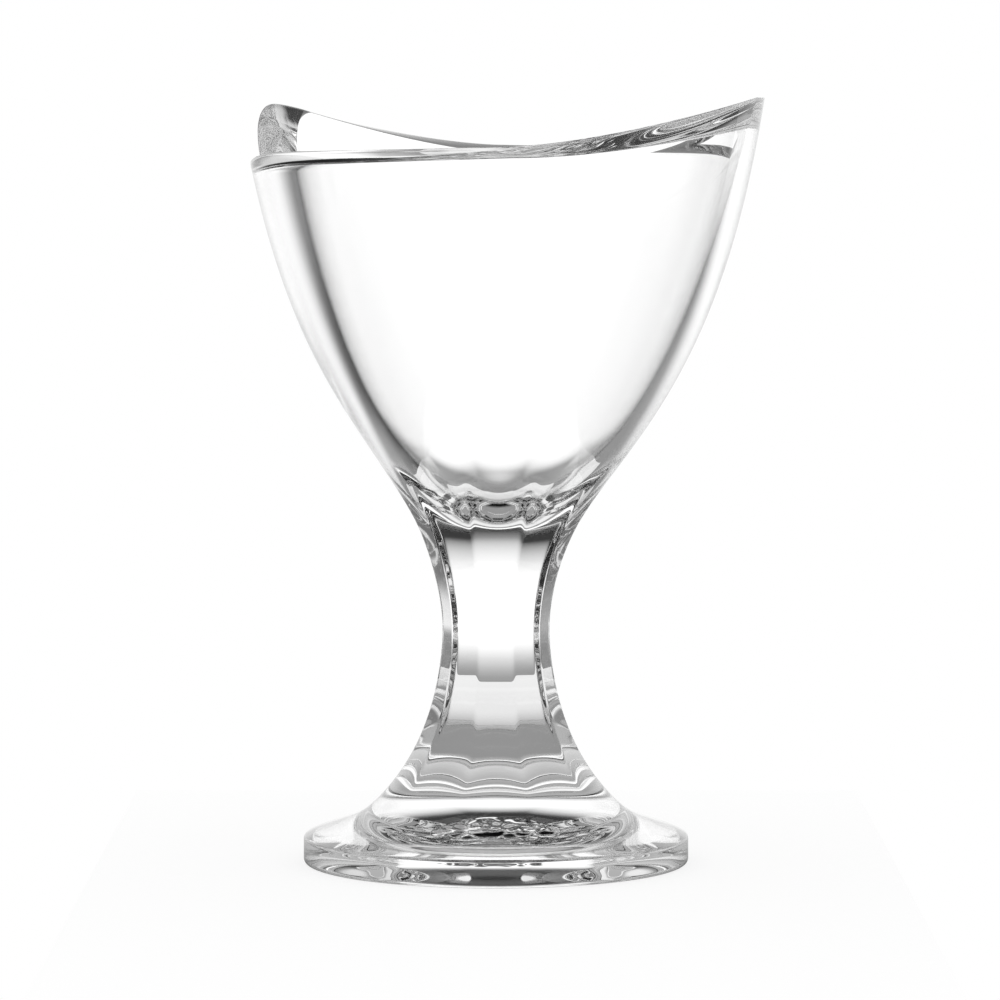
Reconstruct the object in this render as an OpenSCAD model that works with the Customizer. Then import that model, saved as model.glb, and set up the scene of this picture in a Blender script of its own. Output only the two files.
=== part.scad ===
// Footed parfait glass of clear pressed glass: a thick-walled bowl with a swirled rim,
// a short waisted stem with flat panels, and a round foot.
// Millimetres. Z is up, and the origin is the centre of the face that the foot rests on.

/* [Bowl] */
// Height of the rim's tips above the table
tip_h = 153; // [148:1:160]
// Radius of the bowl's outside at the height of the tips
tip_r = 52.4; // [50:0.2:55]
// Outward lean of the bowl's wall at the tips, as a slope
tip_slope = 0.154; // [0.1:0.002:0.2]
// Height of the cavity's lowest point above the table
floor_h = 70; // [68:0.5:74]
// Wall at the height of the tips, halfway between its thick side and its thin side
rim_wall = 5.6; // [4.6:0.1:6.4]
// Lean of the cavity towards +X, which makes one side of the bowl thicker, in degrees
cavity_lean = 1.8; // [0:0.1:2.4]
// Distance of the bowl's axis from the stem's, towards +X
bowl_shift = 1.1; // [0:0.1:1.6]

/* [Rim] */
// Rise of the rim from its lowest places to its tips
rim_rise = 12.8; // [8:0.2:15]
// Direction in which the near stretch of the rim ends in its tip, in degrees from +X
near_tip_az = -3; // [-8:1:0]
// Direction in which the far stretch of the rim ends in its tip, in degrees from +X
far_tip_az = 152.5; // [146:0.5:158]
// Turn over which the rim falls from each tip to the next stretch, in degrees
fall_turn = 12.6; // [8:0.2:16]
// Height of the rounding across the rim
crown = 0.35; // [0.2:0.05:1]
// Fall of the rim's face from its outer edge to its inner edge
face_fall = 1.8; // [0.8:0.1:2.4]
// Fall of the face at the near tip, where it is widest
near_face_fall = 5.8; // [3:0.2:6.6]

/* [Stem] */
// Height of the stem's waist above the table
waist_h = 46.8; // [44:0.2:50]
// Radius of the stem's waist, at the corners of its panels
waist_r = 10.8; // [9.6:0.2:12]
// Number of flat panels round the stem
panels = 10; // [8:1:12]
// Height at which the panels start above the foot
panel_low_h = 15; // [14:0.5:18]
// Height at which the panels end under the bowl
panel_high_h = 80; // [74:0.5:84]

/* [Foot] */
// Radius of the foot
foot_r = 38.6; // [37:0.2:42]
// Height of the foot's top where the stem's flare ends
foot_top_h = 10.8; // [10:0.2:12]
// Height of the foot's upright side, from the table to its upper corner
edge_h = 4.4; // [3.6:0.2:5]
// Reach of the rounding of that upper corner
edge_corner = 1; // [0.4:0.1:1.4]
// Radius that rounds the side's lower edge
edge_round = 1; // [0.5:0.1:1.6]
// Inner radius of the flat ring that the foot rests on
ring_r = 34.5; // [31:0.5:36]
// Depth of the hollow under the foot where its dome starts
hollow_depth = 3.2; // [2:0.1:3.8]
// Radius of the dome in the middle of the hollow
hollow_r = 20; // [16:0.5:23]
// Rise of the dome above the hollow
dome_rise = 3.6; // [2:0.2:4.6]

/* [Hidden] */
glass = [0.86, 0.92, 0.93, 0.45];

// Solid glass of the bowl between the stem and the cavity
bowl_base = 8;
// Height at which the stem is fused to the bowl, and to the foot
bowl_joint_h = floor_h - bowl_base;
foot_joint_h = 12.6;
// Heights between which the bowl's axis moves off the stem's
shift_low_h = 56;
shift_high_h = 90;

// Place of the shoulder, where the full glass of the stem opens into the bowl, from the waist
shoulder_rise = 22.4;
shoulder_out = 6.1;
shoulder_slope = 0.59;
// Reach of the handles of the outline's curves
waist_up = 9.8;
waist_down = 6.1;
shoulder_down = 3;
shoulder_up = 18.9;
tip_down = 52.8;
// Distance of the flare's lower end from the foot's edge, and the pull that bends the flare
flare_in = 12.6;
flare_pull_out = 1.65;
flare_pull_up = 11.5;
// Pulls that bend the foot's top at its outer end and at its inner end
plate_out_pull = [-3, 1.5];
plate_in_pull = [3, -2.4];

// Steps along each curve of the outline, along the foot's curves and roundings, and across the rim
curve_steps = 16;
foot_steps = 10;
arc_steps = 6;
crown_steps = 5;
// Sides of the bowl and the stem, and of the foot
sides = 60;
turn_sides = 120;
// Least turn between two sides, in degrees
least_turn = 1;
// Rings of the bowl's wall below and above its middle, of its cavity, and of the stem
low_rings = 9;
high_rings = 7;
cavity_rings = 14;
stem_rings = 18;

// Shares of the rim's rise: its level midway, the slope of its low half, and its dip
mid_share = 0.258;
slope_share = 0.091;
dip_share = mid_share - slope_share;
dip_width_share = 0.05;
wave_power = 1.6;
// Place along a stretch from which its tip is level
level_share = 0.955;
// Share of the face's fall that is lost at the dip, and how the fall grows towards the near tip
dip_face_share = 0.8;
face_power = 1.3;
// Shares of the fall after a tip at which the rim has a side
fall_shares = [0, 0.4, 0.7, 0.9, 1];

function bezier(p0, p1, p2, p3, t) =
    pow(1 - t, 3) * p0 + 3 * pow(1 - t, 2) * t * p1 + 3 * (1 - t) * pow(t, 2) * p2 + pow(t, 3) * p3;

function curve(p0, p1, p2, p3, first = 0, steps = curve_steps) =
    [for (i = [first:steps]) bezier(p0, p1, p2, p3, i / steps)];

function arc(centre, radius, from, to) =
    [for (i = [0:arc_steps]) centre + radius * [cos(from + (to - from) * i / arc_steps),
                                                sin(from + (to - from) * i / arc_steps)]];

function sorted(v) =
    len(v) < 2 ? v : concat(sorted([for (x = v) if (x < v[0]) x]), [v[0]],
                            sorted([for (x = v) if (x > v[0]) x]));

// Outline of the glass as [radius, height], from the flare's lower end up to the tips
shoulder = [waist_r + shoulder_out, waist_h + shoulder_rise];
flare_end = [foot_r - flare_in, foot_top_h];
flare_line = curve(flare_end, [waist_r + flare_pull_out, foot_top_h + flare_pull_up],
                   [waist_r, waist_h - waist_down], [waist_r, waist_h]);
neck_line = curve([waist_r, waist_h], [waist_r, waist_h + waist_up],
                  shoulder - shoulder_down * [shoulder_slope, 1], shoulder, 1);
wall_line = curve(shoulder, shoulder + shoulder_up * [shoulder_slope, 1],
                  [tip_r, tip_h] - tip_down * [tip_slope, 1], [tip_r, tip_h], 1);
outline = concat(flare_line, neck_line, wall_line);
outline_table = [for (p = outline) [p[1], p[0]]];
function outline_r(h) = lookup(h, outline_table);

// Share of a panel's depth at a height: full between its ends, none at them
panel_end = 9;
function panel_share(h) =
    let (near = max(0, min(1, (h - panel_low_h) / panel_end, (panel_high_h - h) / panel_end)))
    near * near * (3 - 2 * near);

// Radius of the outside in one direction: the flat panels lie inside the turned outline
function outside_r(az, h) =
    let (turn = 360 / panels, off = az - turn * (floor(az / turn) + 0.5))
    outline_r(h) * (1 - (1 - cos(turn / 2) / cos(off)) * panel_share(h));

// Outline of the cavity as [radius, height], from its lowest point up to the tips
cavity_r = tip_r - rim_wall;
cavity_deep = tip_h - floor_h;
// Reach of the curve's handles: the low one is a share of the outside's radius at the same height
cavity_low_share = 0.97;
cavity_high_share = 0.58;
cavity_line = curve([0, floor_h], [outline_r(floor_h) * cavity_low_share, floor_h],
                    [cavity_r, tip_h] - cavity_deep * cavity_high_share * [tip_slope, 1],
                    [cavity_r, tip_h]);
cavity_table = [for (p = cavity_line) [p[1], p[0]]];

// How far the bowl's axis lies from the stem's at a height
function shift(h) =
    let (s = max(0, min(1, (h - shift_low_h) / (shift_high_h - shift_low_h))))
    bowl_shift * s * s * (3 - 2 * s);

function outside_point(az, h) =
    let (r = outside_r(az, h))
    [shift(h) + r * cos(az), r * sin(az), h];

function inside_point(az, h) =
    let (r = lookup(h, cavity_table))
    [shift(h) + (h - floor_h) * tan(cavity_lean) + r * cos(az), r * sin(az), h];

// Directions of the bowl's and the stem's sides, with more of them where the rim falls after each tip
fall_turns = concat([for (s = fall_shares) near_tip_az + s * fall_turn],
                    [for (s = fall_shares) far_tip_az + s * fall_turn]);
special_turns = [for (a = fall_turns) a < 0 ? a + 360 : a];
function clear_turn(a) =
    min([for (b = special_turns) min(abs(a - b), 360 - abs(a - b))]) > least_turn;
even_turns = [for (i = [0:sides - 1]) if (clear_turn(360 * i / sides)) 360 * i / sides];
turns = sorted(concat(even_turns, special_turns));

// Height of the rim over its lowest level, at a place from -1 at its low end to 1 at its tip
function wave(place) =
    rim_rise * (mid_share + (place < 0
        ? slope_share * place - dip_share * exp(-(1 + place) / dip_width_share)
        : (1 - mid_share) * pow(min(1, place / level_share), wave_power)));

// Fall of the rim's face at a place: the near stretch's face widens towards its tip
function face_fall_at(place, near) =
    face_fall * (1 - dip_face_share * exp(-(1 + place) / dip_width_share))
    + (near ? (near_face_fall - face_fall) * pow(max(0, place), face_power) : 0);

// Height of the rim and fall of its face on one stretch: the near one over -Y, the far one over +Y
function stretch(az, near) =
    let (place = (near ? 1 : -1) * cos(az))
    [tip_h - rim_rise + wave(place), face_fall_at(place, near)];

// The same in any direction: each stretch rises to its tip and then falls in a quarter ellipse
function past(az, tip) = (az - tip + 360) % 360;
function rim_line(az) =
    let (near = past(az, far_tip_az) < past(az, near_tip_az),
         tip = near ? far_tip_az : near_tip_az,
         low = stretch(tip + fall_turn, near))
    past(az, tip) < fall_turn
        ? low + (stretch(tip, !near) - low) * sqrt(1 - pow(past(az, tip) / fall_turn, 2))
        : stretch(az, near);

// Heights of the rim's outer and inner edges, under the rounding between them
rim_lines = [for (a = turns) rim_line(a)];
outer_edges = [for (line = rim_lines) line[0] - sqrt(pow(line[1] / 2, 2) + pow(crown, 2)) + line[1] / 2];
inner_edges = outer_edges - [for (line = rim_lines) line[1]];

// Rings of the bowl, one point in each direction, from the joint over the rim to the floor
wall_mid_h = 86;
side_count = len(turns);
function wall_h(j, i) =
    i <= low_rings
        ? bowl_joint_h + (wall_mid_h - bowl_joint_h) * i / low_rings
        : wall_mid_h + (outer_edges[j] - wall_mid_h) * (i - low_rings) / high_rings;
function cavity_h(j, i) = floor_h + (inner_edges[j] - floor_h) * pow(i / cavity_rings, 2);
function crown_point(j, angle) =
    let (outer = outside_point(turns[j], outer_edges[j]), inner = inside_point(turns[j], inner_edges[j]))
    outer + (inner - outer) * (1 - cos(angle)) / 2 + [0, 0, crown * sin(angle)];

bowl_rings = concat(
    [for (i = [0:low_rings + high_rings])
        [for (j = [0:side_count - 1]) outside_point(turns[j], wall_h(j, i))]],
    [for (i = [1:crown_steps - 1])
        [for (j = [0:side_count - 1]) crown_point(j, 180 * i / crown_steps)]],
    [for (i = [cavity_rings:-1:1])
        [for (j = [0:side_count - 1]) inside_point(turns[j], cavity_h(j, i))]]);

// A closed solid from rings of points, with a middle point at each end
module ringed(rings, first_mid, last_mid) {
    n = len(rings[0]);
    count = len(rings);
    points = concat([first_mid], [for (ring = rings) each ring], [last_mid]);
    last = len(points) - 1;
    faces = concat(
        [for (j = [0:n - 1]) [0, 1 + j, 1 + (j + 1) % n]],
        [for (i = [0:count - 2], j = [0:n - 1])
            let (a = 1 + i * n + j, b = 1 + i * n + (j + 1) % n)
            each [[a, a + n, b + n], [a, b + n, b]]],
        [for (j = [0:n - 1]) [last, last - n + (j + 1) % n, last - n + j]]);
    polyhedron(points, faces);
}

module bowl() {
    color(glass)
        ringed(bowl_rings, [0, 0, bowl_joint_h], [shift(floor_h), 0, floor_h]);
}

module stem() {
    heights = [for (i = [0:stem_rings]) foot_joint_h + (bowl_joint_h - foot_joint_h) * i / stem_rings];
    color(glass)
        ringed([for (h = heights) [for (a = turns) outside_point(a, h)]],
               [0, 0, foot_joint_h], [0, 0, bowl_joint_h]);
}

// Underside of the foot as [radius, height]: its dome, and the hollow's slope out to the bearing ring
dome_line = [for (i = [0:foot_steps])
    let (share = i / foot_steps)
    [hollow_r * share, hollow_depth + dome_rise * (1 - share * share)]];
hollow_out_share = 0.4;
hollow_in_share = 0.35;
hollow_wide = ring_r - hollow_r;
hollow_line = curve([hollow_r, hollow_depth], [hollow_r + hollow_wide * hollow_out_share, hollow_depth],
                    [ring_r - hollow_wide * hollow_in_share, hollow_depth * hollow_in_share],
                    [ring_r, 0], 1, foot_steps);

// Upper corner and top of the foot, from its upright side in to the flare
corner_top = [foot_r, edge_h + edge_corner];
plate_start = corner_top + edge_corner * plate_out_pull / norm(plate_out_pull);
corner_line = curve([foot_r, edge_h], corner_top, corner_top, plate_start, 0, arc_steps);
plate_line = curve(plate_start, plate_start + plate_out_pull, flare_end + plate_in_pull, flare_end,
                   1, foot_steps);

module foot() {
    color(glass)
        rotate_extrude($fn = turn_sides)
            polygon(concat(dome_line, hollow_line,
                           arc([foot_r - edge_round, edge_round], edge_round, -90, 0),
                           corner_line, plate_line,
                           [[outline_r(foot_joint_h), foot_joint_h], [0, foot_joint_h]]));
}

bowl();
stem();
foot();
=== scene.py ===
import math

import bpy
import numpy as np
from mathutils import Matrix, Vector, noise


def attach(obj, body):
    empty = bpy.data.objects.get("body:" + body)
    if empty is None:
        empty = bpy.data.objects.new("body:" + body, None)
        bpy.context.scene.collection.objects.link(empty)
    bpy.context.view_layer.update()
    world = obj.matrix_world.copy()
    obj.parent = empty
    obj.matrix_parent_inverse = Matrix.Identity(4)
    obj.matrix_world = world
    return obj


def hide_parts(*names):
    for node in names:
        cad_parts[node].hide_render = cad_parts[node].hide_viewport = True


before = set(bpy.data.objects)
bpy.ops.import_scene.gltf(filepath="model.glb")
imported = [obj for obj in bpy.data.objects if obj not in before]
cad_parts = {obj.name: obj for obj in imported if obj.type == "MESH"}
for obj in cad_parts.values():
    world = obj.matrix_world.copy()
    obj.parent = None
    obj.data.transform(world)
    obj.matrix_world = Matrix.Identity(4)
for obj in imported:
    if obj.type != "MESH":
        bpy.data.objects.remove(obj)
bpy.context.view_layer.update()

MM = 0.001
WHITE = (1, 1, 1, 1)

# Bowl, in millimetres and degrees as in the model
TIP_H, TIP_R, TIP_SLOPE = 153.0, 52.4, 0.154
FLOOR_H, RIM_WALL, CAVITY_LEAN = 70.0, 5.6, 1.8
CAVITY_LOW_SHARE, CAVITY_HIGH_SHARE = 0.97, 0.58
# Distance of the bowl's axis from the stem's, and the heights between which it grows
BOWL_SHIFT, SHIFT_LOW_H, SHIFT_HIGH_H = 1.1, 56.0, 90.0
# Rim: its rise, the directions of its two tips, and the turn over which it falls after each
RIM_RISE, NEAR_TIP, FAR_TIP, FALL_TURN = 12.8, -3.0, 152.5, 12.6
# Fall of the rim's face towards the cavity, also at the near tip, and the height of its rounding
FACE_FALL, NEAR_FACE_FALL, FACE_POWER, CROWN = 1.8, 5.8, 1.3, 0.35
# Shares of the rim's rise: its level midway, the slope of its low half, and its dip
MID_SHARE, SLOPE_SHARE, DIP_WIDTH_SHARE = 0.258, 0.091, 0.05
DIP_SHARE = MID_SHARE - SLOPE_SHARE
# Share of the face's fall that is lost at the dip
DIP_FACE_SHARE = 0.8
# Curve of the rim's high half, and the place from which it is level
WAVE_POWER, LEVEL_SHARE = 1.6, 0.955
# Stem
WAIST_H, WAIST_R = 46.8, 10.8
PANELS, PANEL_LOW_H, PANEL_HIGH_H, PANEL_END = 10, 15.0, 80.0, 9.0
# Slight rounding of the corners between the panels
CORNER_SHARE, CORNER_POWER = 0.994, 350
SHOULDER_RISE, SHOULDER_OUT, SHOULDER_SLOPE = 22.4, 6.1, 0.59
WAIST_UP, WAIST_DOWN, SHOULDER_DOWN, SHOULDER_UP, TIP_DOWN = 9.8, 6.1, 3.0, 18.9, 52.8
# Foot
FOOT_R, FOOT_TOP_H, EDGE_H, EDGE_ROUND, EDGE_CORNER = 38.6, 10.8, 4.4, 1.0, 1.0
RING_R, HOLLOW_R, HOLLOW_DEPTH, DOME_RISE = 34.5, 20.0, 3.2, 3.6
HOLLOW_OUT_SHARE, HOLLOW_IN_SHARE = 0.4, 0.35
FLARE_IN, FLARE_PULL_OUT, FLARE_PULL_UP = 12.6, 1.65, 11.5
PLATE_OUT_PULL, PLATE_IN_PULL = (3.0, 1.5), (3.0, 2.4)
# Rough patch of the underside: its place, half its width and depth, and how sharply it fades out
PATCH_Y, PATCH_WIDE, PATCH_DEEP, PATCH_FADE = -16.5, 12.0, 7.0, 4
# Relief of the patch, the size of its folds, and the finer folds on them
CRINKLE, CRINKLE_SIZE = 1.2, 4.0
FINE_SHARE, FINE_SCALE, FINE_LAYER = 0.5, 2.3, 5.0
# Steps of the curves on which a radius is looked up by its height
CURVE_STEPS = 3000
# Turn between the mesh's sides, and their number in each fall of the rim
SIDE_TURN, FALL_SIDES = 0.75, 40
# Least gaps after a fall and between two sides, and the digits that directions are rounded to
FALL_GAP, LEAST_GAP, TURN_DIGITS = 0.3, 0.01, 4
# Rings of the mesh, stretch by stretch from under the foot over the rim into the cavity
DOME_START_R, DOME_RINGS, HOLLOW_RINGS = 0.3, 60, 60
FLAT_RING_SHARES = (0.1, 0.4, 0.7)
EDGE_RINGS, CORNER_RINGS, PLATE_RINGS = 10, 10, 40
LOW_WALL_STEP, LOW_WALL_TOP_H, HIGH_WALL_RINGS = 0.5, 90.0, 90
RIM_RINGS, CAVITY_RINGS = 22, 130

# Camera
CAMERA_BACK, CAMERA_H, AIM_H = 1060.0, 148.0, 72.8
AXIS_OFF = 0.8
FRAME_W = 200.0
SENSOR = 36.0
# Light runs a long way along the inside of the thick wall
BOUNCES = 96

# Glass, and the faint waves of its surface: their scale, detail, strength and depth in metres
GLASS_IOR = 1.52
WAVE_SCALE, WAVE_DETAIL, WAVE_STRENGTH, WAVE_DEPTH = 60, 2, 0.03, 0.0004
# Painted shade on the glass's colour, by how far its face turns away: 0 is face on and 1 edge on
EDGE_SHADE_BLEND = 0.5
PAINTED_EDGE_SHADE = ((0.55, 1.0), (0.66, 0.82), (0.78, 0.58), (0.84, 0.34), (0.9, 0.04))

# Brightness of the set as the glass shows it, where straight behind the glass is 1
LEFT_CARD, RIGHT_CARD, REAR_WALL = 0.18, 0.75, 0.9
CEILING, GROUND, GROUND_REAR = 0.02, 0.08, 0.85
# Turns at which the cards' inner and outer edges fade, in degrees to the right of straight behind
LEFT_CARD_IN, LEFT_CARD_OUT = (-50.0, -27.0), (-78.0, -62.0)
RIGHT_CARD_IN, RIGHT_CARD_OUT = (52.0, 75.0), (115.0, 150.0)
# Parts of a direction, from -1 to 1, at which the ceiling, the ground and its bright part fade
CEILING_Z, GROUND_Z, GROUND_REAR_Y = (0.13, 0.4), (-0.16, -0.04), (-0.5, -0.1)
# Plain light of the room on all else
ROOM_LIGHT = 1.0
# Lit backdrop behind the glass: its place, its brightness, and its left, bottom, right and top
BACKDROP_Y, BACKDROP_WHITE = 580.0, 1.2
BACKDROP_BOX = (-900.0, -700.0, 800.0, 900.0)
# Its fades: from one place to another, and from one brightness to another
FADE_BOTTOM = (-165.0, -20.0, 0.25, 1.0)
FADE_TOP = (150.0, 520.0, 1.0, 0.04)
FADE_LEFT = (-690.0, -320.0, 0.15, 1.0)
FADE_RIGHT = (500.0, 800.0, 1.0, 0.7)
# Table: its left, front, right and back, its roughness, and its brightness clear of the foot
TABLE_BOX = (-80.0, -1100.0, 80.0, 114.0)
TABLE_ROUGHNESS, TABLE = 0.9, 0.9
# Painted shadow on it in the glass: its fade under the foot from front to back, and outwards to where it
# is clear of the foot
PAINTED_SHADOW_FADE = (-4.0, 4.0, 0.0, 0.32)
PAINTED_SHADOW_REACH = (26.0, 64.0, 0.0, 1.0)
# Share of the table's own white in what the camera sees; the rest takes the glass's shadow
GLOW_SHARE = 0.8


def bezier(p0, p1, p2, p3, steps=CURVE_STEPS):
    """Points along a cubic curve from p0 to p3, pulled towards p1 and p2."""
    t = np.linspace(0, 1, steps + 1)[:, None]
    p0, p1, p2, p3 = (np.array(p, float) for p in (p0, p1, p2, p3))
    return (1 - t) ** 3 * p0 + 3 * (1 - t) ** 2 * t * p1 + 3 * (1 - t) * t * t * p2 + t ** 3 * p3


def smooth(value):
    """Goes from 0 to 1 as the value does, without a corner at either end."""
    s = np.clip(value, 0, 1)
    return s * s * (3 - 2 * s)


def outline():
    """Outside of the glass as [radius, height], from the flare's lower end to the tips."""
    shoulder = np.array([WAIST_R + SHOULDER_OUT, WAIST_H + SHOULDER_RISE])
    slope = np.array([SHOULDER_SLOPE, 1])
    tip = np.array([TIP_R, TIP_H])
    waist = [WAIST_R, WAIST_H]
    flare = bezier([FOOT_R - FLARE_IN, FOOT_TOP_H],
                   [WAIST_R + FLARE_PULL_OUT, FOOT_TOP_H + FLARE_PULL_UP],
                   [WAIST_R, WAIST_H - WAIST_DOWN], waist)
    neck = bezier(waist, [WAIST_R, WAIST_H + WAIST_UP], shoulder - SHOULDER_DOWN * slope, shoulder)
    wall = bezier(shoulder, shoulder + SHOULDER_UP * slope,
                  tip - TIP_DOWN * np.array([TIP_SLOPE, 1]), tip)
    return np.vstack([flare, neck[1:], wall[1:]])


OUTLINE = outline()


def cavity():
    """Inside of the bowl as [radius, height], from the middle of its floor to the tips."""
    floor_r = np.interp(FLOOR_H, OUTLINE[:, 1], OUTLINE[:, 0])
    top = np.array([TIP_R - RIM_WALL, TIP_H])
    pull = (TIP_H - FLOOR_H) * CAVITY_HIGH_SHARE * np.array([TIP_SLOPE, 1])
    return bezier([0, FLOOR_H], [floor_r * CAVITY_LOW_SHARE, FLOOR_H], top - pull, top)


CAVITY = cavity()


def bowl_shift(h):
    """The bowl stands a little to one side of the stem."""
    return BOWL_SHIFT * smooth((h - SHIFT_LOW_H) / (SHIFT_HIGH_H - SHIFT_LOW_H))


def outside_r(az, h):
    """Radius of the outside: the flat panels lie inside the turned outline."""
    share = smooth(np.minimum((h - PANEL_LOW_H) / PANEL_END, (PANEL_HIGH_H - h) / PANEL_END))
    turn = 360 / PANELS
    off = np.radians(az - turn * (np.floor(az / turn) + 0.5))
    flat = math.cos(math.radians(turn / 2)) / np.cos(off)
    rounded = (flat ** -CORNER_POWER + CORNER_SHARE ** -CORNER_POWER) ** (-1 / CORNER_POWER)
    return np.interp(h, OUTLINE[:, 1], OUTLINE[:, 0]) * (1 - (1 - rounded) * share)


def ring(az, r, h, shift=0.0):
    """A ring of points, with its middle off the axis by the shift."""
    a = np.radians(az)
    return np.stack([shift + r * np.cos(a), r * np.sin(a), h + 0 * az], axis=1)


def outside_ring(az, h):
    return ring(az, outside_r(az, h), h, bowl_shift(h))


def inside_ring(az, h):
    """A ring of the cavity, which leans to one side."""
    lean = (h - FLOOR_H) * math.tan(math.radians(CAVITY_LEAN))
    return ring(az, np.interp(h, CAVITY[:, 1], CAVITY[:, 0]), h, bowl_shift(h) + lean)


def directions():
    """Directions of the mesh's sides, closer together where the rim falls after each tip."""
    turns = list(np.arange(0, 360, SIDE_TURN))
    for tip in (NEAR_TIP, FAR_TIP):
        turns = [a for a in turns if (a - tip) % 360 > FALL_TURN + FALL_GAP]
        turns += list((tip + FALL_TURN * np.sin(np.linspace(0, math.pi / 2, FALL_SIDES))) % 360)
    turns = np.unique(np.round(turns, TURN_DIGITS))
    keep = np.concatenate([[True], np.diff(turns) > LEAST_GAP])
    return turns[keep]


def wave(place):
    """Rise of the rim at a place from -1, where a stretch starts low, to 1, where it ends in its tip."""
    if place < 0:
        dip = DIP_SHARE * math.exp(-(1 + place) / DIP_WIDTH_SHARE)
        return RIM_RISE * (MID_SHARE + SLOPE_SHARE * place - dip)
    return RIM_RISE * (MID_SHARE + (1 - MID_SHARE) * min(1, place / LEVEL_SHARE) ** WAVE_POWER)


def face_fall(place, near):
    """Fall of the rim's face from its outer edge to its inner edge, at a place as in wave."""
    fall = FACE_FALL * (1 - DIP_FACE_SHARE * math.exp(-(1 + place) / DIP_WIDTH_SHARE))
    if near:
        fall += (NEAR_FACE_FALL - FACE_FALL) * max(place, 0) ** FACE_POWER
    return fall


def stretch(az, near):
    """Height of the rim and fall of its face: the near stretch runs over -Y, the far one over +Y."""
    place = math.cos(math.radians(az)) * (1 if near else -1)
    return np.array([TIP_H - RIM_RISE + wave(place), face_fall(place, near)])


def rim_line(az):
    """Height of the rim and fall of its face. After each tip they fall in a quarter ellipse."""
    line = []
    for a in az:
        past_near, past_far = (a - NEAR_TIP) % 360, (a - FAR_TIP) % 360
        near = past_far < past_near
        past, tip = (past_far, FAR_TIP) if near else (past_near, NEAR_TIP)
        if past < FALL_TURN:
            top, low = stretch(tip, not near), stretch(tip + FALL_TURN, near)
            line.append(low + (top - low) * math.sqrt(1 - (past / FALL_TURN) ** 2))
        else:
            line.append(stretch(a, near))
    return np.array(line).T


def dome_height(r):
    """The middle of the underside is a shallow dome."""
    return HOLLOW_DEPTH + DOME_RISE * (1 - (r / HOLLOW_R) ** 2)


def hollow_side():
    """Side of the hollow under the foot as [radius, height], from the dome out to the flat ring."""
    wide = RING_R - HOLLOW_R
    return bezier([HOLLOW_R, HOLLOW_DEPTH], [HOLLOW_R + wide * HOLLOW_OUT_SHARE, HOLLOW_DEPTH],
                  [RING_R - wide * HOLLOW_IN_SHARE, HOLLOW_DEPTH * HOLLOW_IN_SHARE],
                  [RING_R, 0], HOLLOW_RINGS)[1:]


def crinkles(x, y):
    """Relief of the rough patch of the underside, where the glass was cut off hot."""
    away = np.hypot(x / PATCH_WIDE, (y - PATCH_Y) / PATCH_DEEP)
    rough = []
    for u, v in zip(x / CRINKLE_SIZE, y / CRINKLE_SIZE):
        folds = noise.noise(Vector((u, v, 0.0)))
        fine = noise.noise(Vector((FINE_SCALE * u, FINE_SCALE * v, FINE_LAYER)))
        rough.append(folds + FINE_SHARE * fine)
    return CRINKLE * np.clip((1 - away) * PATCH_FADE, 0, 1) * np.array(rough)


def foot_edge():
    """Rounding of the foot's lower edge as [radius, height]."""
    a = np.radians(np.linspace(-90, 0, EDGE_RINGS + 1))
    r = FOOT_R - EDGE_ROUND + EDGE_ROUND * np.cos(a)
    return np.stack([r, EDGE_ROUND + EDGE_ROUND * np.sin(a)], axis=1)


def foot_plate():
    """Top of the foot as [radius, height], from the upright side in to the flare."""
    pull = np.array([-PLATE_OUT_PULL[0], PLATE_OUT_PULL[1]])
    top = np.array([FOOT_R, EDGE_H + EDGE_CORNER])
    start = top + pull * EDGE_CORNER / np.linalg.norm(pull)
    corner = bezier([FOOT_R, EDGE_H], top, top, start, CORNER_RINGS)
    plate = bezier(start, start + pull,
                   [FOOT_R - FLARE_IN + PLATE_IN_PULL[0], FOOT_TOP_H - PLATE_IN_PULL[1]],
                   [FOOT_R - FLARE_IN, FOOT_TOP_H], PLATE_RINGS)
    return np.vstack([corner, plate[1:-1]])


def foot_rings(az):
    """Rings of the foot, from the middle of its underside out and up to the flare."""
    dome = [(r, dome_height(r)) for r in np.linspace(DOME_START_R, HOLLOW_R, DOME_RINGS)]
    a = np.radians(az)
    rings = []
    for r, h in dome + list(hollow_side()):
        rings.append(ring(az, r, h + crinkles(r * np.cos(a), r * np.sin(a))))
    flat = [(RING_R + (FOOT_R - EDGE_ROUND - RING_R) * s, 0) for s in FLAT_RING_SHARES]
    return rings + [ring(az, r, h) for r, h in np.vstack([flat, foot_edge(), foot_plate()])]


def wall_rings(az, edge):
    """Rings of the outside, from the flare's lower end up to the rim's outer edge."""
    rings = [outside_ring(az, h) for h in np.arange(FOOT_TOP_H, LOW_WALL_TOP_H, LOW_WALL_STEP)]
    for s in np.linspace(0, 1, HIGH_WALL_RINGS):
        rings.append(outside_ring(az, LOW_WALL_TOP_H + (edge - LOW_WALL_TOP_H) * s))
    return rings


def rim_rings(outer, inner):
    """Rings across the rim's face, which is slightly rounded."""
    rings = []
    for a in np.linspace(0, math.pi, RIM_RINGS)[1:-1]:
        s = (1 - math.cos(a)) / 2
        rings.append(outer * (1 - s) + inner * s + [0, 0, CROWN * math.sin(a)])
    return rings


def cavity_rings(az, top):
    """Rings of the cavity, from the rim's inner edge down to the floor."""
    shares = np.linspace(1, 0, CAVITY_RINGS)[:-1]
    return [inside_ring(az, FLOOR_H + (top - FLOOR_H) * s * s) for s in shares]


def glass_rings(az):
    """Closed skin of the glass, ring by ring, from under the foot over the rim into the cavity."""
    rim, fall = rim_line(az)
    edge = rim - np.sqrt(fall ** 2 / 4 + CROWN ** 2) + fall / 2
    wall = wall_rings(az, edge)
    top = edge - fall
    return foot_rings(az) + wall + rim_rings(wall[-1], inside_ring(az, top)) + cavity_rings(az, top)


def new_object(name, data):
    thing = bpy.data.objects.new(name, data)
    bpy.context.scene.collection.objects.link(thing)
    return thing


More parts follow.
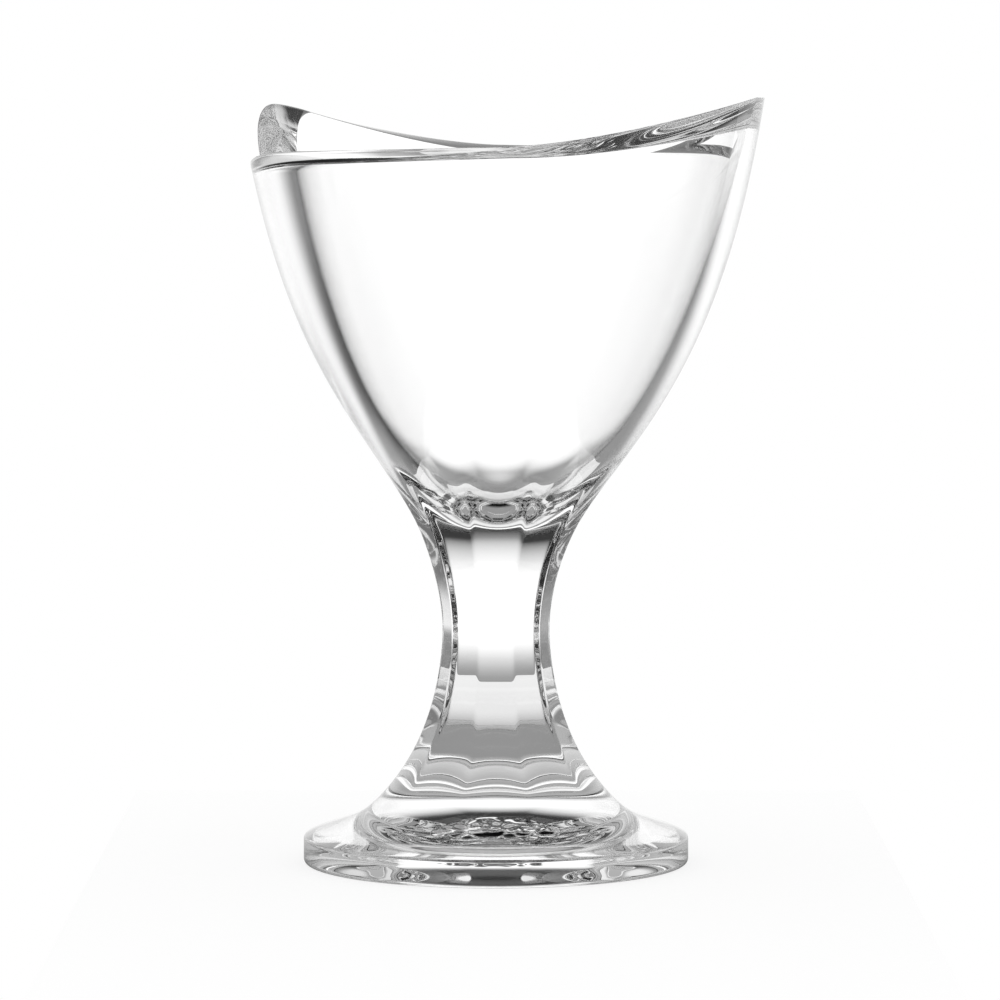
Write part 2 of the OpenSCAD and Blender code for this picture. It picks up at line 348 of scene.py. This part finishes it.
def ringed_mesh(name, rings, first, last):
    """A closed mesh from rings of points, with a middle point at each end."""
    n = len(rings[0])
    verts = np.vstack([[first]] + rings + [[last]]) * MM
    end = len(verts) - 1
    faces = []
    for j in range(n):
        k = (j + 1) % n
        faces.append((0, 1 + k, 1 + j))
        faces.append((end, end - n + j, end - n + k))
    for start in range(1, end - n, n):
        for j in range(n):
            a, b = start + j, start + (j + 1) % n
            faces.append((a, b, b + n, a + n))
    mesh = bpy.data.meshes.new(name)
    mesh.from_pydata([tuple(v) for v in verts], [], faces)
    mesh.polygons.foreach_set("use_smooth", [True] * len(mesh.polygons))
    mesh.update()
    return new_object(name, mesh)


class Shading:
    """Short forms for the nodes of a material or of the world."""

    def __init__(self, owner):
        owner.use_nodes = True
        self.nodes, self.links = owner.node_tree.nodes, owner.node_tree.links

    def add(self, kind, inputs):
        """A new node. Each input, by name or number, is a fixed value or comes from another node."""
        node = self.nodes.new(kind)
        for key, value in inputs.items():
            if isinstance(value, bpy.types.NodeSocket):
                self.links.new(value, node.inputs[key])
            else:
                node.inputs[key].default_value = value
        return node

    def maths(self, operation, *values):
        node = self.add("ShaderNodeMath", dict(enumerate(values)))
        node.operation = operation
        return node.outputs[0]

    def blend(self, value, limits, at_low, at_high):
        """Goes smoothly from at_low to at_high as the value goes from one limit to the other."""
        low, high = limits
        node = self.add("ShaderNodeMapRange", {"Value": value, "From Min": low, "From Max": high,
                                               "To Min": at_low, "To Max": at_high})
        node.interpolation_type = "SMOOTHSTEP"
        return node.outputs[0]

    def fade(self, value, low, high, at_low, at_high):
        """A blend whose limits are in millimetres."""
        return self.blend(value, (low * MM, high * MM), at_low, at_high)

    def mix(self, share, first, second):
        """A mix of two nodes' shaders: the first at share 0, and the second at share 1."""
        node = self.add("ShaderNodeMixShader", {0: share, 1: first.outputs[0], 2: second.outputs[0]})
        return node.outputs[0]

    def position(self, kind, axes):
        """The axes that are asked for of a texture coordinate."""
        coords = self.nodes.new("ShaderNodeTexCoord")
        split = self.add("ShaderNodeSeparateXYZ", {0: coords.outputs[kind]})
        return [split.outputs[axis] for axis in axes]

    def ray(self, kind):
        return self.nodes.new("ShaderNodeLightPath").outputs[kind]

    def seen_ray(self):
        """1 for rays from the camera, and for those that glass mirrors or lets through."""
        bent = self.maths("MAXIMUM", self.ray("Is Glossy Ray"), self.ray("Is Transmission Ray"))
        return self.maths("MAXIMUM", self.ray("Is Camera Ray"), bent)


def painted_edge_shade(shading):
    """Painted shade: the glass's colour darkens towards its edges as seen."""
    weight = shading.add("ShaderNodeLayerWeight", {"Blend": EDGE_SHADE_BLEND})
    ramp = shading.add("ShaderNodeValToRGB", {0: weight.outputs["Facing"]})
    stops = ramp.color_ramp.elements
    stops.remove(stops[0])
    for i, (turned, tone) in enumerate(PAINTED_EDGE_SHADE):
        stop = stops.new(turned) if i else stops[0]
        stop.position = turned
        stop.color = (tone, tone, tone, 1)
    return ramp.outputs[0]


def faint_waves(shading):
    """Slightly wavy surface of pressed glass."""
    coords = shading.nodes.new("ShaderNodeTexCoord")
    waves = shading.add("ShaderNodeTexNoise", {"Vector": coords.outputs["Object"],
                                               "Scale": WAVE_SCALE, "Detail": WAVE_DETAIL})
    bump = shading.add("ShaderNodeBump", {"Strength": WAVE_STRENGTH, "Distance": WAVE_DEPTH,
                                          "Height": waves.outputs["Fac"]})
    return bump.outputs["Normal"]


def glass_material():
    mat = bpy.data.materials.new("clear_pressed_glass")
    shading = Shading(mat)
    glass = shading.nodes["Principled BSDF"].inputs
    glass["Base Color"].default_value = WHITE
    glass["Transmission Weight"].default_value = 1
    glass["IOR"].default_value = GLASS_IOR
    glass["Roughness"].default_value = 0.0
    # Painted shade: the glass's colour darkens towards its edges as seen
    shading.links.new(painted_edge_shade(shading), glass["Base Color"])
    shading.links.new(faint_waves(shading), glass["Normal"])
    return mat


def make_glass():
    """Bowl, stem and foot as one continuous skin, as on the real object."""
    rings = glass_rings(directions())
    glass = ringed_mesh("glass_body", rings, [0, 0, dome_height(0)], [bowl_shift(FLOOR_H), 0, FLOOR_H])
    glass.data.materials.append(glass_material())
    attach(glass, "root")
    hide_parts("bowl", "stem", "foot")


def sides(shading, x, y):
    """The set's brightness all round, with a darker card on each side of the glass."""
    turn = shading.maths("MULTIPLY", shading.maths("ARCTAN2", x, y), 180 / math.pi)
    left = shading.maths("MAXIMUM", shading.blend(turn, LEFT_CARD_IN, LEFT_CARD, 1.0),
                         shading.blend(turn, LEFT_CARD_OUT, REAR_WALL, LEFT_CARD))
    right = shading.maths("MAXIMUM", shading.blend(turn, RIGHT_CARD_IN, 1.0, RIGHT_CARD),
                          shading.blend(turn, RIGHT_CARD_OUT, RIGHT_CARD, REAR_WALL))
    return shading.maths("MINIMUM", left, right)


def make_world():
    """Plain white room. The glass shows it with cards at the sides, a dark ceiling and a dark ground."""
    world = bpy.data.worlds.new("studio")
    bpy.context.scene.world = world
    shading = Shading(world)
    shading.nodes.clear()
    x, y, z = shading.position("Generated", "XYZ")
    above = shading.blend(z, CEILING_Z, 1.0, CEILING)
    ground = shading.blend(y, GROUND_REAR_Y, GROUND_REAR, GROUND)
    low = shading.blend(z, GROUND_Z, 1.0, 0.0)
    lost = shading.maths("MULTIPLY", low, shading.maths("SUBTRACT", 1.0, ground))
    below = shading.maths("SUBTRACT", 1.0, lost)
    bright = shading.maths("MULTIPLY", sides(shading, x, y), shading.maths("MULTIPLY", above, below))
    bright = shading.maths("MAXIMUM", bright, shading.ray("Is Camera Ray"))
    seen = shading.add("ShaderNodeBackground", {"Color": bright})
    light = shading.add("ShaderNodeBackground", {"Color": WHITE, "Strength": ROOM_LIGHT})
    shading.add("ShaderNodeOutputWorld", {"Surface": shading.mix(shading.seen_ray(), light, seen)})


def backdrop_material():
    """White glow, which the glass shows fading out towards the backdrop's edges."""
    mat = bpy.data.materials.new("lit_backdrop")
    shading = Shading(mat)
    shading.nodes.clear()
    x, z = shading.position("Object", "XZ")
    bright = BACKDROP_WHITE
    for place, fade in ((z, FADE_BOTTOM), (z, FADE_TOP), (x, FADE_LEFT), (x, FADE_RIGHT)):
        bright = shading.maths("MULTIPLY", bright, shading.fade(place, *fade))
    seen = shading.seen_ray()
    plain = shading.maths("SUBTRACT", 1.0, seen)
    tone = shading.maths("ADD", shading.maths("MULTIPLY", bright, seen), plain)
    glow = shading.add("ShaderNodeEmission", {"Color": tone})
    # The camera looks through the backdrop at the white room, so the glass shows from behind too
    clear = shading.nodes.new("ShaderNodeBsdfTransparent")
    surface = shading.mix(shading.ray("Is Camera Ray"), glow, clear)
    shading.add("ShaderNodeOutputMaterial", {"Surface": surface})
    return mat


def table_glow_with_painted_shadow(shading):
    """The table as seen: white, and in the glass a painted shadow under the foot, darkest in front."""
    x, y = shading.position("Object", "XY")
    squares = shading.maths("ADD", shading.maths("MULTIPLY", x, x), shading.maths("MULTIPLY", y, y))
    clear = shading.fade(shading.maths("SQRT", squares), *PAINTED_SHADOW_REACH)
    shadow_cover = shading.maths("SUBTRACT", 1.0, clear)
    # Painted shadow of the foot on the table, as the glass shows it
    painted_shadow = shading.maths("MULTIPLY", shading.fade(y, *PAINTED_SHADOW_FADE), shadow_cover)
    tone = shading.maths("ADD", shading.maths("MULTIPLY", clear, TABLE), painted_shadow)
    tone = shading.maths("MAXIMUM", tone, shading.ray("Is Camera Ray"))
    return shading.add("ShaderNodeEmission", {"Color": tone})


def table_material():
    """Dull white, which takes shadows, mixed with the glow that the camera and the glass see; in the
    glass that glow holds a painted shadow under the foot.
    """
    mat = bpy.data.materials.new("white_table")
    shading = Shading(mat)
    dull = shading.nodes["Principled BSDF"]
    dull.inputs["Base Color"].default_value = WHITE
    dull.inputs["Roughness"].default_value = TABLE_ROUGHNESS
    dull.inputs["Specular IOR Level"].default_value = 0.0
    shadow_share = shading.maths("MULTIPLY", shading.ray("Is Camera Ray"), 1 - GLOW_SHARE)
    share = shading.maths("SUBTRACT", shading.seen_ray(), shadow_share)
    surface = shading.mix(share, dull, table_glow_with_painted_shadow(shading))
    shading.links.new(surface, shading.nodes["Material Output"].inputs["Surface"])
    return mat


def sheet(name, corners, material):
    """A flat sheet of the set."""
    mesh = bpy.data.meshes.new(name)
    mesh.from_pydata([[v * MM for v in corner] for corner in corners], [], [(0, 1, 2, 3)])
    mesh.materials.append(material)
    return new_object(name, mesh)


def make_backdrop():
    """Upright backdrop behind the glass."""
    x0, z0, x1, z1 = BACKDROP_BOX
    y = BACKDROP_Y
    corners = [(x0, y, z0), (x1, y, z0), (x1, y, z1), (x0, y, z1)]
    backdrop = sheet("backdrop", corners, backdrop_material())


def make_floor():
    """Table, whose back edge is seen in the glass."""
    x0, y0, x1, y1 = TABLE_BOX
    corners = [(x0, y0, 0), (x1, y0, 0), (x1, y1, 0), (x0, y1, 0)]
    floor = sheet("floor", corners, table_material())


def make_camera():
    data = bpy.data.cameras.new("camera")
    camera = new_object("camera", data)
    x = AXIS_OFF * MM
    place = Vector((x, -CAMERA_BACK * MM, CAMERA_H * MM))
    aim = Vector((x, 0, AIM_H * MM))
    camera.location = place
    camera.rotation_euler = (aim - place).to_track_quat("-Z", "Y").to_euler()
    data.sensor_width = SENSOR
    data.lens = SENSOR * (aim - place).length / (FRAME_W * MM)
    bpy.context.scene.camera = camera


def set_rendering():
    scene = bpy.context.scene
    scene.view_settings.view_transform = "Standard"
    scene.cycles.max_bounces = BOUNCES
    scene.cycles.transmission_bounces = BOUNCES
    scene.cycles.glossy_bounces = BOUNCES


make_camera()
make_world()
make_backdrop()
make_floor()
make_glass()
set_rendering()
